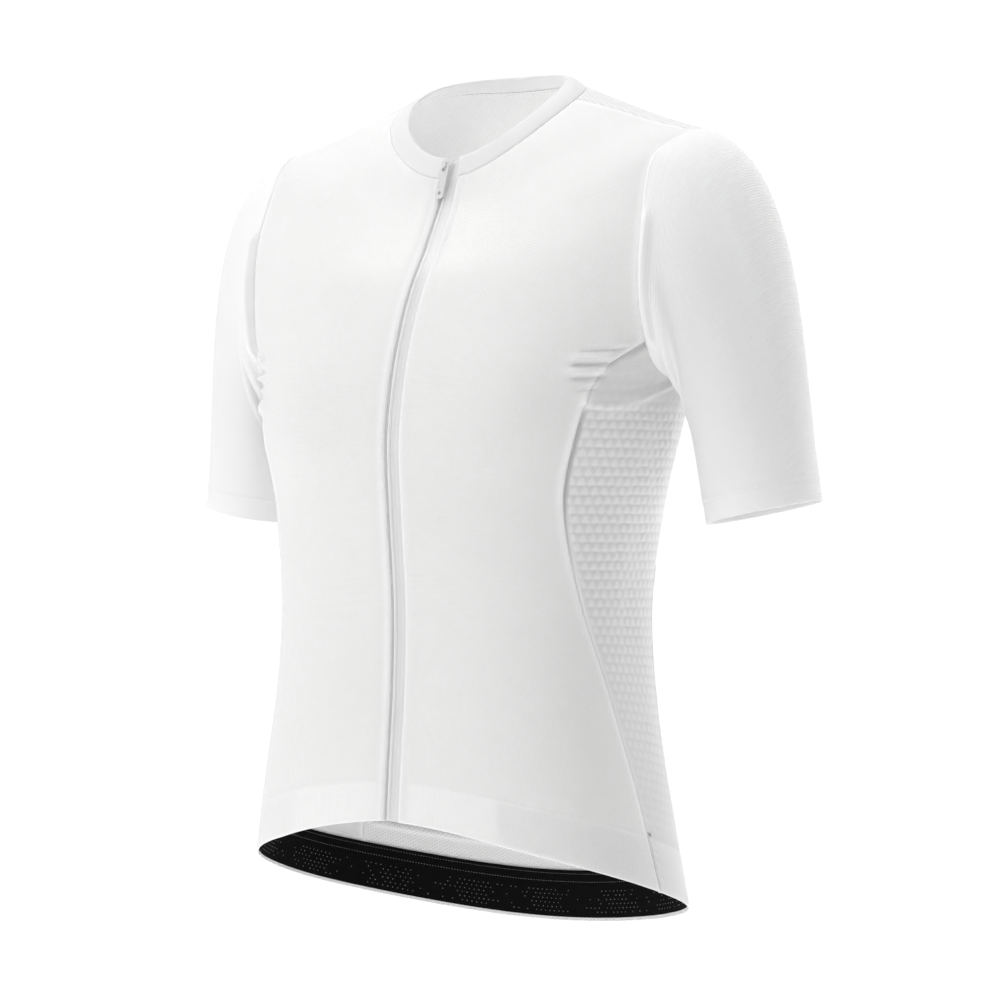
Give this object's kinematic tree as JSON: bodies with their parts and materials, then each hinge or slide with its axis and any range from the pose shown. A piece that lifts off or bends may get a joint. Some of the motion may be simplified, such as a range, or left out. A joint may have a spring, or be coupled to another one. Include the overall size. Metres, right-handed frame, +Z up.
{
  "type": "short-sleeved cycling jersey",
  "caption": "White women's cycling jersey with a full front zip, low collar, textured side panels, short sleeves and a black gripper hem, filled out and hollow.",
  "frame": {"origin": "middle of the neck opening, at about the height of the shoulders beside it", "axes": "+Z up, -Y the front, +X the wearer's left"},
  "size_m": [0.4962, 0.2146, 0.6037],
  "materials": {
    "front_cloth": "white fine micro-mesh knit, matte",
    "side_cloth": "white knit embossed with small triangles, matte",
    "back_cloth": "white fine knit, matte",
    "sleeve_cloth": "white finely ribbed mesh, matte",
    "collar_cloth": "white smooth knit, matte",
    "zip_tape": "pale grey woven tape",
    "zip_teeth": "white nylon coil",
    "zip_metal": "bright metal",
    "gripper_elastic": "black woven elastic with raised silicone dots"
  },
  "bodies": {
    "jersey": {"front_left": "front_cloth", "front_right": "front_cloth", "side_left": "side_cloth", "side_right": "side_cloth", "back": "back_cloth", "sleeve_left": "sleeve_cloth", "sleeve_right": "sleeve_cloth", "collar": "collar_cloth", "back_pockets": "back_cloth", "zip_tape_left": "zip_tape", "zip_tape_right": "zip_tape", "zip_coil": "zip_teeth", "zip_slider": "zip_metal", "hem_gripper": "gripper_elastic"},
    "pull_tab": {"zip_pull_tab": "zip_metal"}
  },
  "joints": [
    {"name": "pull_tab_swing", "type": "hinge", "parent": "jersey", "child": "pull_tab", "pos_m": [0, -0.05349, -0.05357], "axis": [-1, 0, 0], "range_deg": [0, 170]}
  ]
}
